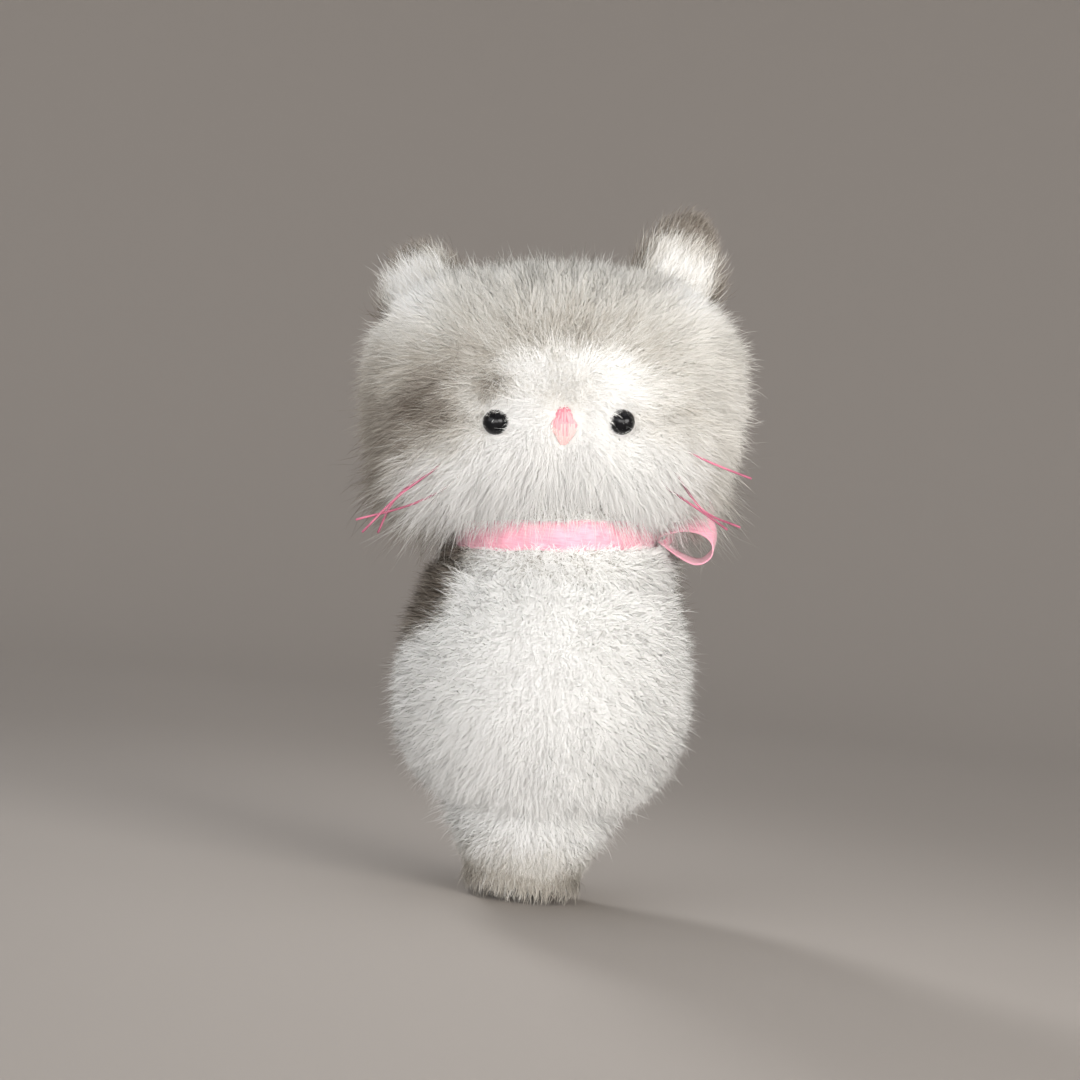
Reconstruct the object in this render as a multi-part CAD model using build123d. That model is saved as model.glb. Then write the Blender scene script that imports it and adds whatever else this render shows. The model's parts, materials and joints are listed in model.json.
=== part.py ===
"""Cat finger puppet: a fur sock with a stuffed belly, a soft neck ball and a stuffed head.

Millimetres, +Z up. The origin is the centre of the finger opening, in the plane of the hem.
The face looks along -Y. Left and right are the puppet's own, so its left is +X.
A finger goes up the sleeve into the pocket of the neck ball and works the head from there.
"""

import os
from math import asin, atan2, copysign, cos, degrees, pi, radians, sin, sqrt

from build123d import *

# ---- Driving dimensions ------------------------------------------------------------------

GAP = 0.05  # between pieces that touch or are sewn together
RUNNING = 0.3  # between pieces that move against each other

# Finger sleeve and fur skin of the body
BORE_R = 8.0
SLEEVE_R = 9.0
SLEEVE_TOP = 46.0
SKIN = 1.8  # backing and packed root of the pile
HEM_R = 10.9
CUFF_R = 12.4
CUFF_TOP = 18.0
BELLY = [(18.5, 20.5), (23.3, 25.5), (25.6, 35.0), (24.4, 47.0)]  # radius and height
BELLY_MIDDLE = Vector(0, 38)
SHOULDER_R = 21.0
SHOULDER_Z = 59.0
SIDE_SEAM_TURN = 18.0  # the side seams stand this far round from the puppet's sides

# Neck ball, which everything above the belly turns on
PIVOT = Vector(0, 0, 67)
BALL_R = 21.0
SOCKET_R = BALL_R + RUNNING
CORE_R = 17.5
POCKET_R = 8.4
POCKET_WALL = 0.8
POCKET_TOP = 8.0  # above the pivot
POCKET_MOUTH = -14.0

# Ribbon collar, in its own frame at the pivot
RIBBON_WIDTH = 6.0
RIBBON_THICK = 0.5
RIBBON_R = 19.5
RIBBON_MID = 2.5
GROOVE_R = 19.0
BOW_TURN = -12.0  # the bow sits on the puppet's left, a little to the front
THREAD_R = 0.18

# Head, in its own frame at its centre
HEAD_LEAN = -6.2  # the head rests leaning to the puppet's right
HEAD_YAW = 2.5
HEAD_CENTRE = Vector(-0.9, 0, 29.9)  # from the pivot
HEAD_HALF = Vector(34, 24, 22)
HEAD_POWER = 2.6  # 2 is an ellipse, and more is squarer
BACK_SEAM_Y = 2.0
FACE_HALF = (25.0, 16.0)
FACE_DROP = 9.0

# Face
EYE_X, EYE_Z = 11.9, -5.3
EYE_R = 2.5
EYE_RIM = 0.8
SHANK_R = 1.1
SHANK_LENGTH = 8.5
WASHER_R, WASHER_THICK, WASHER_DEPTH = 4.0, 1.0, 2.4
NOSE_X, NOSE_Z = 1.0, -6.2
NOSE_HALF_WIDTH, NOSE_HEIGHT = 2.2, 7.0
NOSE_STRANDS = 7
FLOSS_R = 0.34
WHISKER_R = 0.22
KNOT_R = 0.7

# Ears
EAR_X = {"left": 23.0, "right": 25.0}  # where the root crosses the head, from its middle
EAR_ROLL_R = 2.2
EAR_HALF_BASE = 6.5
EAR_LENGTH = 14.8
EAR_TIP_R = 2.8
EAR_TIP_OUT = 3.0  # how far the tip leans out to the side
EAR_LEAN_BACK = {"left": 8.0, "right": 52.0}  # the right ear is flattened back

# ---- Frames ------------------------------------------------------------------------------

AT_PIVOT = Location(PIVOT)
COLLAR_FRAME = AT_PIVOT * Rot(0, HEAD_LEAN, 0)
HEAD_FRAME = COLLAR_FRAME * Pos(HEAD_CENTRE) * Rot(0, 0, HEAD_YAW)
SEAM_FRAME = Rot(0, 0, SIDE_SEAM_TURN)
SIDES = {"left": 1, "right": -1}

# ---- Small helpers -----------------------------------------------------------------------


def rod(start, end, radius):
    """A straight round rod between two points."""
    start, end = Vector(start), Vector(end)
    return Solid.make_cylinder(radius, (end - start).length, Plane(origin=start, z_dir=end - start))


def bead(centre, radius):
    return Pos(*centre) * Sphere(radius)


def tube(radius, wall, bottom, top):
    """A straight tube round Z, its wall measured outwards from the given radius."""
    height = top - bottom
    both = (Align.CENTER, Align.CENTER, Align.MIN)
    return Pos(0, 0, bottom) * (
        Cylinder(radius + wall, height, align=both) - Cylinder(radius, height, align=both)
    )


def turned(outline):
    """The solid that a closed outline in r and z makes when it is turned round Z."""
    return revolve(Plane.XZ * make_face(outline), Axis.Z)


def thread(points, radius, start_direction):
    """A round thread through the points, which leaves the first one in the given direction."""
    path = Spline(*points, tangents=[start_direction, points[-1] - points[-2]])
    section = Plane(origin=path @ 0, z_dir=path % 0) * Circle(radius)
    return sweep(section, path=path)


def half_space(frame, sign):
    """A large box on one side of a frame's own XZ plane: sign -1 is the front."""
    size = 400
    return frame * Pos(0, sign * size / 2, 0) * Box(size, size, size)


# ---- Body --------------------------------------------------------------------------------


def body_side(inset):
    """The body's outer curve from the hem to the shoulder, moved in by inset."""
    cuff_top = (CUFF_R - inset, CUFF_TOP + inset)
    cuff = Line((HEM_R - inset, 0), cuff_top)
    rising = []
    for point in BELLY:
        inward = (BELLY_MIDDLE - Vector(*point)).normalized()
        rising.append(Vector(*point) + inward * inset)
    shoulder = (SHOULDER_R - inset, SHOULDER_Z)
    belly = Spline(cuff_top, *rising, shoulder, tangents=[(1, 0.2), (-0.35, 1)])
    return cuff, belly


def body_form(inset):
    cuff, belly = body_side(inset)
    closing = Polyline((SHOULDER_R - inset, SHOULDER_Z), (0, SHOULDER_Z), (0, 0), (HEM_R - inset, 0))
    return turned(cuff + belly + closing)


def socket():
    """The ball-shaped hollow that the neck ball moves in."""
    return AT_PIVOT * Sphere(SOCKET_R)


def body_panels():
    """White front panel and taupe back panel, sewn at the two side seams."""
    skin = body_form(0) - body_form(SKIN) - socket()
    panels = {}
    for name, sign in (("belly_panel", -1), ("back_panel", 1)):
        half = half_space(SEAM_FRAME * Pos(0, sign * GAP / 2, 0), sign)
        panels[name] = skin & half
    return panels


def belly_filling():
    """The fibrefill between the sleeve and the skin, from the top of the cuff up."""
    above_cuff = Pos(0, 0, CUFF_TOP + 50) * Cylinder(50, 100)
    finger_way = Cylinder(SLEEVE_R + GAP, 2 * SHOULDER_Z)
    return (body_form(SKIN + GAP) & above_cuff) - finger_way - socket()


def hem_stitches():
    """Whip stitches round the hem, outside the fur backing."""
    count, low_z, high_z = 16, 2.0, 3.8

    def on_cuff(turns, z):
        radius = HEM_R + (CUFF_R - HEM_R) * z / CUFF_TOP + THREAD_R + 0.15
        return Vector(radius * cos(2 * pi * turns), radius * sin(2 * pi * turns), z)

    return [
        rod(on_cuff(i / count, low_z), on_cuff((i + 0.35) / count, high_z), THREAD_R)
        for i in range(count)
    ]


def side_seam(sign):
    """Stitches that cross a side seam, from the belly's underside to the shoulder."""
    belly = body_side(0)[1]
    count, half_length = 12, 1.3
    stitches = []
    for i in range(count):
        share = 0.12 + 0.8 * i / (count - 1)
        at, along = belly @ share, belly % share
        out = Vector(along.Y, -along.X)
        reach = at + out * (THREAD_R + 0.12)
        ends = [(sign * reach.X, side * half_length, reach.Y) for side in (-1, 1)]
        stitches.append(SEAM_FRAME * rod(*ends, THREAD_R))
    return stitches


# ---- Neck ball ---------------------------------------------------------------------------


def neck_cover():
    """The fur-fabric ball, drawn in to a groove where the ribbon is tied."""
    ball = Sphere(BALL_R) - Sphere(CORE_R + GAP * 2)
    mouth = Pos(0, 0, -BALL_R) * Cylinder(POCKET_R + 2.0, BALL_R)
    half_groove = RIBBON_WIDTH / 2 + 0.2
    groove = tube(GROOVE_R, 5, RIBBON_MID - half_groove, RIBBON_MID + half_groove)
    return AT_PIVOT * (ball - mouth - Rot(0, HEAD_LEAN, 0) * groove)


def neck_filling():
    pocket = POCKET_R + POCKET_WALL + GAP
    depth = POCKET_TOP + POCKET_WALL + GAP + CORE_R
    hole = Pos(0, 0, POCKET_TOP + POCKET_WALL + GAP - depth / 2) * Cylinder(pocket, depth)
    return AT_PIVOT * (Sphere(CORE_R) - hole)


def finger_pocket():
    """A felt cup, closed at the top, that takes the fingertip."""
    height = POCKET_TOP + POCKET_WALL - POCKET_MOUTH
    middle = POCKET_MOUTH + height / 2
    outside = Pos(0, 0, middle) * Cylinder(POCKET_R + POCKET_WALL, height)
    inside = Pos(0, 0, middle - POCKET_WALL) * Cylinder(POCKET_R, height)
    return AT_PIVOT * (outside - inside)


def gather_thread():
    """Three turns of thread under the ribbon."""
    radius = GROOVE_R + THREAD_R + 0.04
    return [COLLAR_FRAME * Pos(0, 0, RIBBON_MID + 1.2 * i) * Torus(radius, THREAD_R) for i in (-1, 0, 1)]


# ---- Ribbon collar and bow ---------------------------------------------------------------

RIBBON_OUT = RIBBON_R + RIBBON_THICK
BOW_FRAME = COLLAR_FRAME * Rot(0, 0, BOW_TURN) * Pos(RIBBON_OUT, 0, RIBBON_MID)


def neck_ribbon():
    low = RIBBON_MID - RIBBON_WIDTH / 2
    return COLLAR_FRAME * tube(RIBBON_R, RIBBON_THICK, low, low + RIBBON_WIDTH)


def bow_knot():
    block = Box(3.2, 4.2, 5.0)
    return BOW_FRAME * Pos(1.75, 0, 0) * fillet(block.edges(), 1.2)


def bow_loop(root, end, end_r, start):
    """A drop-shaped loop of ribbon from its root circle to its end circle, one ribbon wide in Y."""
    outline = make_hull((Pos(*root) * Circle(1.0) + Pos(*end) * Circle(end_r)).edges())
    band = outline - offset(outline, -RIBBON_THICK)
    return BOW_FRAME * Pos(0, start + RIBBON_WIDTH, 0) * extrude(Plane.XZ * band, RIBBON_WIDTH)


def bow_tail(radius, length):
    """A ribbon end that lies back along the neck, cut on the slant."""
    low, high = RIBBON_MID - 2.7, RIBBON_MID + 2.7
    strip = tube(radius, RIBBON_THICK, low, high)
    first = degrees(asin(2.3 / radius))
    last = first + degrees(length / radius)
    reach = 2 * radius
    wedge = Polyline(
        (0, 0),
        (reach * cos(radians(first)), reach * sin(radians(first))),
        (reach * cos(radians(last)), reach * sin(radians(last))),
        close=True,
    )
    kept = extrude(make_face(wedge), 20, both=True)
    slant = 35
    corner = Rot(0, 0, last) * Pos(radius, 0, high) * Rot(slant, 0, 0) * Pos(0, 10, 0) * Box(8, 20, 20)
    return COLLAR_FRAME * Rot(0, 0, BOW_TURN) * ((strip & kept) - corner)


# ---- Head --------------------------------------------------------------------------------


def head_radius(height):
    """Half the head's width at a height in its own frame."""
    share = min(1.0, abs(height) / HEAD_HALF.Z)
    return HEAD_HALF.X * (1 - share**HEAD_POWER) ** (1 / HEAD_POWER)


def face_y(x, z):
    """Where the front of the head is at x and z, in its own frame."""
    across = head_radius(z)
    return -HEAD_HALF.Y / HEAD_HALF.X * sqrt(max(0.0, across**2 - x**2))


def face_normal(x, z):
    """The outward direction of the front of the head at x and z."""
    step = 0.1
    y = face_y(x, z)
    slope_x = (face_y(x + step, z) - y) / step
    slope_z = (face_y(x, z + step) - y) / step
    return Vector(slope_x, -1, slope_z).normalized()


def head_form(inset):
    """A squarish egg: a superellipse turned round Z and pressed flatter from front to back."""
    half_x, half_y, half_z = (half - inset for half in HEAD_HALF)
    steps = 12
    points = []
    for i in range(steps + 1):
        angle = pi * (i / steps - 0.5)
        across = abs(cos(angle)) ** (2 / HEAD_POWER) if 0 < i < steps else 0.0
        up = copysign(abs(sin(angle)) ** (2 / HEAD_POWER), angle)
        points.append((half_x * across, half_z * up))
    side = Spline(*points, tangents=[(1, 0), (-1, 0)])
    form = turned(side + Line(points[-1], points[0]))
    return scale(form, by=(1, half_y / half_x, 1))


def eye_frame(sign):
    """At the eye's place on the skin, with +Z pointing out of the face."""
    x = sign * EYE_X
    return Plane(origin=(x, face_y(x, EYE_Z), EYE_Z), z_dir=face_normal(x, EYE_Z)).location


def eye(sign):
    """A glossy domed eye with a shank, as pushed through the fabric."""
    seat = GAP + 0.15
    rim = Pos(0, 0, seat + EYE_RIM / 2) * Cylinder(EYE_R, EYE_RIM)
    dome = Pos(0, 0, seat + EYE_RIM) * (Sphere(EYE_R) & Pos(0, 0, EYE_R / 2) * Box(9, 9, EYE_R))
    shank = Pos(0, 0, seat - SHANK_LENGTH / 2) * Cylinder(SHANK_R, SHANK_LENGTH)
    return HEAD_FRAME * eye_frame(sign) * (rim + dome + shank)


def eye_washer(sign):
    disc = Cylinder(WASHER_R, WASHER_THICK) - Cylinder(SHANK_R + GAP, WASHER_THICK)
    return HEAD_FRAME * eye_frame(sign) * Pos(0, 0, -WASHER_DEPTH - WASHER_THICK / 2) * disc


def shank_hole(sign):
    hole = Pos(0, 0, -SHANK_LENGTH / 2) * Cylinder(SHANK_R + GAP, SHANK_LENGTH + 1)
    return HEAD_FRAME * eye_frame(sign) * hole


def washer_room(sign):
    top, bottom = -WASHER_DEPTH + GAP, -WASHER_DEPTH - WASHER_THICK - GAP
    room = Pos(0, 0, (top + bottom) / 2) * Cylinder(WASHER_R + GAP, top - bottom)
    return HEAD_FRAME * eye_frame(sign) * room


def whisker_points(sign, root, middle, tip):
    """A whisker's course in the head's frame: from its knot, out through the skin, then drooping."""
    x, z = root
    out = face_normal(x, z)
    skin = Vector(x, face_y(x, z), z)
    knot = skin - out * (SKIN + KNOT_R + 0.4)
    clear = skin + out * 2.5
    course = [knot, clear, Vector(*middle), Vector(*tip)]
    return [Vector(sign * p.X, p.Y, p.Z) for p in course]


# root (x, z), then a middle point and the tip, as on the puppet's left
WHISKERS = {
    "left": [
        ((19.0, -15.0), (25.0, -19.5, -20.8), (32.6, -22.5, -26.2)),
        ((21.5, -13.5), (28.4, -18.5, -22.6), (35.2, -21.5, -25.8)),
        ((23.5, -10.0), (30.5, -18.8, -13.6), (37.6, -19.5, -16.4)),
    ],
    "right": [
        ((18.5, -14.5), (28.5, -18.5, -21.4), (39.0, -20.5, -24.2)),
        ((21.0, -12.0), (30.4, -19.5, -19.4), (37.8, -21.0, -26.6)),
        ((23.5, -13.0), (31.8, -16.5, -20.8), (34.8, -18.5, -26.8)),
    ],
}


def whiskers(side):
    """Three stiff pink threads, each a straight root and a drooping free end."""
    threads = []
    for root, middle, tip in WHISKERS[side]:
        knot, clear, bend, end = whisker_points(SIDES[side], root, middle, tip)
        straight = rod(knot, clear, WHISKER_R)
        free = thread([clear, bend, end], WHISKER_R, start_direction=clear - knot)
        threads.append(HEAD_FRAME * (straight + free))
    return threads


def whisker_holes():
    holes = []
    for side, sign in SIDES.items():
        for row in WHISKERS[side]:
            knot, clear = whisker_points(sign, *row)[:2]
            holes.append(HEAD_FRAME * rod(knot, clear, WHISKER_R + GAP))
    return holes


def whisker_knots(grow=0.0):
    """The knots behind the skin that hold the whiskers, each bored for its thread."""
    knots = []
    for side, sign in SIDES.items():
        for row in WHISKERS[side]:
            knot, clear = whisker_points(sign, *row)[:2]
            ball = bead(knot, KNOT_R + grow)
            knots.append(HEAD_FRAME * (ball if grow else ball - rod(knot, clear, WHISKER_R + 0.01)))
    return knots


def nose_stitches():
    """Upright strands of floss, longest in the middle, that make a small shield."""
    strands = []
    for i in range(NOSE_STRANDS):
        share = 2 * i / (NOSE_STRANDS - 1) - 1
        x = NOSE_X + share * NOSE_HALF_WIDTH
        top = NOSE_Z + NOSE_HEIGHT / 2 * (1 - 0.45 * share**2)
        bottom = NOSE_Z - NOSE_HEIGHT / 2 * (1 - 0.6 * share**2)
        course = []
        for z, lift in ((bottom, 0.1), ((top + bottom) / 2, 0.5), (top, 0.1)):
            course.append(Vector(x, face_y(x, z) - FLOSS_R - lift, z))
        arc = ThreePointArc(*course)
        section = Plane(origin=arc @ 0, z_dir=arc % 0) * Circle(FLOSS_R)
        strands.append(HEAD_FRAME * sweep(section, path=arc))
    return strands


def nose_knot(grow=0.0):
    return HEAD_FRAME * bead((NOSE_X, face_y(NOSE_X, NOSE_Z) + SKIN + 1.6, NOSE_Z), 1.0 + grow)


def closing_stitches():
    """The ladder stitches that close the back of the head, on its middle line."""
    count, half_length = 8, 1.4
    stitches = []
    for i in range(count):
        z = -9 + 18 * i / (count - 1)
        y = -min(face_y(x, z) for x in (0, half_length)) + THREAD_R + 0.15
        stitches.append(HEAD_FRAME * rod((-half_length, y, z), (half_length, y, z), THREAD_R))
    return stitches


def head_panels():
    """White face, grey-beige crown and taupe back, sewn edge to edge."""
    skin = HEAD_FRAME * (head_form(0) - head_form(SKIN)) - socket()
    front = skin & half_space(HEAD_FRAME * Pos(0, BACK_SEAM_Y - GAP / 2, 0), -1)
    back = skin & half_space(HEAD_FRAME * Pos(0, BACK_SEAM_Y + GAP / 2, 0), 1)
    depth = 100

    def mask(grow):
        outline = Pos(0, -FACE_DROP) * Ellipse(FACE_HALF[0] + grow, FACE_HALF[1] + grow)
        return HEAD_FRAME * extrude(Plane.XZ * outline, depth)

    face = front & mask(-GAP / 2)
    crown = front - mask(GAP / 2)
    for hole in [shank_hole(sign) for sign in SIDES.values()] + whisker_holes():
        face -= hole
    return {"face_panel": face, "crown_panel": crown, "head_back_panel": back}


def head_filling():
    form = HEAD_FRAME * head_form(SKIN + GAP) - socket()
    rooms = [nose_knot(GAP)] + whisker_knots(GAP) + whisker_holes()
    for sign in SIDES.values():
        rooms += [shank_hole(sign), washer_room(sign)]
    for room in rooms:
        form -= room
    return form


# ---- Ears --------------------------------------------------------------------------------


def ear_frame(side):
    """At the ear's root: X runs along the root line, Z stands out from the head, Y is back."""
    sign = SIDES[side]
    share = EAR_X[side] / HEAD_HALF.X
    rise = (1 - share**HEAD_POWER) ** (1 / HEAD_POWER)
    out_x = share ** (HEAD_POWER - 1) / HEAD_HALF.X
    out_z = rise ** (HEAD_POWER - 1) / HEAD_HALF.Z
    slope = atan2(out_x, out_z)
    lift = EAR_ROLL_R + RUNNING
    x = EAR_X[side] + lift * sin(slope)
    z = HEAD_HALF.Z * rise + lift * cos(slope)
    return HEAD_FRAME * Pos(sign * x, 0, z) * Rot(0, sign * degrees(slope), 0), slope


def ear_panels(side):
    """The pale front and dark back of one ear, on a rolled root that turns clear of the head."""
    frame, slope = ear_frame(side)
    sign = SIDES[side]
    to_tip = EAR_LENGTH - EAR_TIP_R
    tip = (sign * (EAR_TIP_OUT - sin(slope) * to_tip), cos(slope) * to_tip)
    corners = [(-EAR_HALF_BASE, 0, EAR_ROLL_R), (EAR_HALF_BASE, 0, EAR_ROLL_R), (*tip, EAR_TIP_R)]
    circles = Sketch() + [Pos(x, z) * Circle(r) for x, z, r in corners]
    blade = extrude(Plane.XZ * make_hull(circles.edges()), EAR_ROLL_R, both=True)
    above = Pos(0, 0, 50) * Box(100, 100, 100)
    roll = Rot(0, 90, 0) * Cylinder(EAR_ROLL_R, 2 * EAR_HALF_BASE)
    ear = (blade & above) + roll
    turn = Rot(-EAR_LEAN_BACK[side], 0, 0)
    panels = {}
    for name, way in (("front", -1), ("back", 1)):
        half = half_space(Pos(0, way * GAP / 2, 0), way)
        panels[f"ear_{side}_{name}"] = frame * turn * (ear & half)
    return panels


# ---- Write every piece -------------------------------------------------------------------


def pieces():
    """Every node's name with its solid or solids."""
    made = {
        "belly_filling": belly_filling(),
        "finger_sleeve": tube(BORE_R, SLEEVE_R - BORE_R, 0, SLEEVE_TOP),
        "hem_stitches": hem_stitches(),
        "side_seam_left": side_seam(1),
        "side_seam_right": side_seam(-1),
        "neck_cover": neck_cover(),
        "neck_filling": neck_filling(),
        "finger_pocket": finger_pocket(),
        "gather_thread": gather_thread(),
        "neck_ribbon": neck_ribbon(),
        "bow_knot": bow_knot(),
        "bow_loop_front": bow_loop(root=(4.4, 0), end=(8.7, -1.6), end_r=3.6, start=-6.4),
        "bow_loop_rear": bow_loop(root=(4.4, 0.5), end=(8.5, 2.3), end_r=3.2, start=0.4),
        "bow_tail_inner": bow_tail(20.6, 11),
        "bow_tail_outer": bow_tail(21.6, 13),
        "head_filling": head_filling(),
        "nose_stitches": nose_stitches(),
        "nose_knot": nose_knot(),
        "whisker_knots": whisker_knots(),
        "head_closing_stitches": closing_stitches(),
    }
    made.update(body_panels())
    made.update(head_panels())
    for side, sign in SIDES.items():
        made[f"eye_{side}"] = eye(sign)
        made[f"eye_washer_{side}"] = eye_washer(sign)
        made[f"whiskers_{side}"] = whiskers(side)
        made.update(ear_panels(side))
    return made


def solids_of(shape):
    """The separate solids of a piece, as one compound."""
    found = []
    for item in shape if isinstance(shape, list) else [shape]:
        found.extend(item.solids())
    return Compound(found)


os.makedirs("parts", exist_ok=True)
for name, shape in pieces().items():
    export_step(solids_of(shape), f"parts/{name}.step")
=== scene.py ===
"""The looks of the kitten finger puppet: plush fur, satin ribbon, black domed eyes, stitched nose.

Sizes are in millimetres until a mesh is made, which turns them into Blender's metres.
The frame is the CAD part's: +Z up, the face looks along -Y, +X is the puppet's own left.
Fur is real geometry: thin tapering blades that grow from a skin, in eight tones.
"""

import json
from math import atan2, cos, degrees, pi, radians, sin

import bpy
import numpy as np
from mathutils import Matrix, Vector, kdtree, noise

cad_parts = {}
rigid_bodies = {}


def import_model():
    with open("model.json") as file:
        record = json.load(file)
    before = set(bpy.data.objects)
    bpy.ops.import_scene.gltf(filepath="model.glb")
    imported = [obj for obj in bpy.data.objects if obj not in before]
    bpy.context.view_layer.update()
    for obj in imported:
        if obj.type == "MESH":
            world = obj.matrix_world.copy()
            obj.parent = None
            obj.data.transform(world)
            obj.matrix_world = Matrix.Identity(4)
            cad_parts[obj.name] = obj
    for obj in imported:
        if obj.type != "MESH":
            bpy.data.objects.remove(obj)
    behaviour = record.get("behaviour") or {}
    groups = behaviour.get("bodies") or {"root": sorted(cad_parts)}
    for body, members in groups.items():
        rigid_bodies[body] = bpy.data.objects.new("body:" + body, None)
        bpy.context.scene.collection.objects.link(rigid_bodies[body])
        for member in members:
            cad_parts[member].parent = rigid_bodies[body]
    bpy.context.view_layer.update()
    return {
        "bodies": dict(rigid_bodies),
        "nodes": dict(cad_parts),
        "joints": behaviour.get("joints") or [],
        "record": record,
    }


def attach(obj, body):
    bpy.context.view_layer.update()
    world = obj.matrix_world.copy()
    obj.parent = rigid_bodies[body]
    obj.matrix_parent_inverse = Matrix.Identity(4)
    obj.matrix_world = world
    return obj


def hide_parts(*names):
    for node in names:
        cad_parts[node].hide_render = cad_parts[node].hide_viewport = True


# ---- Driving dimensions ------------------------------------------------------------------

MM = 0.001
PIVOT = (0, 0, 67)  # the head, the neck and the ribbon turn about this point
HEAD_LEAN = -6.2
HEAD_YAW = 2.5
HEAD_CENTRE = (-0.9, 0, 29.9)  # from the pivot
HEAD_HALF = np.array((34.0, 24.0, 22.0))
HEAD_POWER = 2.6  # 2 is an ellipse, and more is squarer
FACE_HALF = (25.0, 16.0)
FACE_DROP = 9.0
BACK_SEAM_Y = 2.0
EYE_X, EYE_Z, EYE_R = 11.9, -5.3, 2.5
NOSE_X, NOSE_Z = 1.0, -6.2

BODY_PROFILE = [  # radius and height, from the hem to the shoulder
    (10.9, 0.0),
    (11.6, 9.0),
    (12.4, 18.0),
    (18.5, 20.7),
    (23.3, 26.0),
    (25.6, 35.0),
    (24.6, 47.0),
    (21.0, 59.0),
]
SIDE_SEAM_TURN = 18.0
BALL_R = 21.0  # the neck's ball
NECK_LIFT = (-32, 48)  # the part of the ball that shows at some pose, in degrees above its middle
RIBBON_R, RIBBON_MID, RIBBON_WIDTH = 19.5, 2.5, 6.0
BOW_TURN = -12.0

EAR_X = {"left": 23.0, "right": 25.0}
EAR_ROLL_R, EAR_LENGTH, EAR_HALF_BASE, EAR_TIP_OUT = 2.2, 14.8, 6.5, 3.0
EAR_LEAN_BACK = {"left": 8.0, "right": 52.0}
SIDES = {"left": 1, "right": -1}

NOSE_STRANDS = 17

FLOOR_Z = -3.8  # the hem's fur carries the puppet
FLOOR_R, WALL_R, WALL_TOP = 450.0, 900.0, 1500.0

# Fur: blades in each square millimetre of skin, and the size of the blades and their meshes
FACE_DENSITY, CROWN_DENSITY, HEAD_BACK_DENSITY = 22, 18, 12
EAR_DENSITY, BODY_DENSITY, NECK_DENSITY = 24, 18, 18
BLADE_ROWS = 5
TRIANGLE_LIMIT = 190000
PIECE_LIMIT = TRIANGLE_LIMIT // (2 * BLADE_ROWS - 3)  # blades in one fur mesh
CLUMP_SIZE = 12
NOISE_SEED = 6  # 0 takes it from the clock; with some others fur stands too far past the CAD's box
DENSITY = 1.0
BLADE_WIDTH = 0.1

# Fur tones from light to dark, as they look in even light
TONES = {
    "snow": (0.94, 0.94, 0.925),
    "white": (0.88, 0.875, 0.855),
    "cream": (0.78, 0.76, 0.715),
    "pale_grey": (0.64, 0.625, 0.585),
    "stone": (0.49, 0.455, 0.4),
    "grey": (0.34, 0.31, 0.27),
    "taupe": (0.2, 0.17, 0.14),
    "dark": (0.1, 0.08, 0.065),
}
WHITE, TAUPE = 0.9, 6.2  # places on that row of tones, counted from 0

# Spots on the front of the head: middle x and z, half width and height, and how much darker. The first
# and third are patches of the fur's own colour, the second a beige patch deepened with painted shade,
# the last painted shade on the bridge of the nose.
PATCHES_AND_PAINTED_SHADE = [
    (-11.6, 1.8, 3.4, 2.2, 5.4),
    # the beige patch on the cheek at the puppet's right, partly its own beige and partly painted shade
    # on the shaded side
    (-20.0, -3.5, 5.0, 6.0, 5.0),
    (20.0, -3.5, 6.0, 5.5, 2.4),
    # painted shade on the bridge of the nose, where the light falls brightest
    (1.0, 0.5, 7.0, 4.5, 1.3),
]

# ---- Frames ------------------------------------------------------------------------------


def move(x, y, z):
    return Matrix.Translation((x, y, z))


def turn(axis, angle):
    return Matrix.Rotation(radians(angle), 4, axis)


COLLAR = move(*PIVOT) @ turn("Y", HEAD_LEAN)
HEAD_ON_COLLAR = move(*HEAD_CENTRE) @ turn("Z", HEAD_YAW)
HEAD = COLLAR @ HEAD_ON_COLLAR
BOW = COLLAR @ turn("Z", BOW_TURN) @ move(RIBBON_R + 0.5, 0, RIBBON_MID)
SEAM = turn("Z", SIDE_SEAM_TURN)


def placed(frame, points):
    """Points of any array shape (..., 3), moved from a frame's own coordinates to the puppet's."""
    m = np.array(frame)
    return points @ m[:3, :3].T + m[:3, 3]


def local(frame, points):
    return placed(frame.inverted(), points)


def turned_only(frame, vectors):
    return vectors @ np.array(frame)[:3, :3].T


# ---- Array helpers -----------------------------------------------------------------------


def unit(v):
    return v / np.maximum(np.linalg.norm(v, axis=-1, keepdims=True), 1e-9)


def smooth_step(low, high, x):
    t = np.clip((x - low) / (high - low), 0, 1)
    return t * t * (3 - 2 * t)


def along(surface_normals, wanted):
    """The part of the wanted directions that lies in the surface."""
    return wanted - surface_normals * np.sum(surface_normals * wanted, axis=-1, keepdims=True)


def mottle(points, size, seed):
    """Smooth noise from -1 to 1 with patches of about the given size."""
    offset = 17.3 * seed
    return np.array([noise.noise((p[0] / size + offset, p[1] / size, p[2] / size)) for p in points])


def drift(points, size, seed):
    """A direction that changes smoothly, so that neighbouring blades lean the same way."""
    offset = 7.7 * seed
    return np.array(
        [noise.noise_vector((p[0] / size, p[1] / size + offset, p[2] / size)) for p in points]
    )


def curve_through(points, count):
    """A smooth open curve through the points (Catmull-Rom), as count points."""
    p = np.array(points, dtype=float)
    ends = np.vstack((2 * p[0] - p[1], p, 2 * p[-1] - p[-2]))
    s = np.linspace(0, len(p) - 1 - 1e-9, count)
    i = s.astype(int)
    t = (s - i)[:, None]
    a, b, c, d = ends[i], ends[i + 1], ends[i + 2], ends[i + 3]
    return 0.5 * (
        2 * b + (c - a) * t + (2 * a - 5 * b + 4 * c - d) * t**2 + (3 * b - a - 3 * c + d) * t**3
    )


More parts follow.
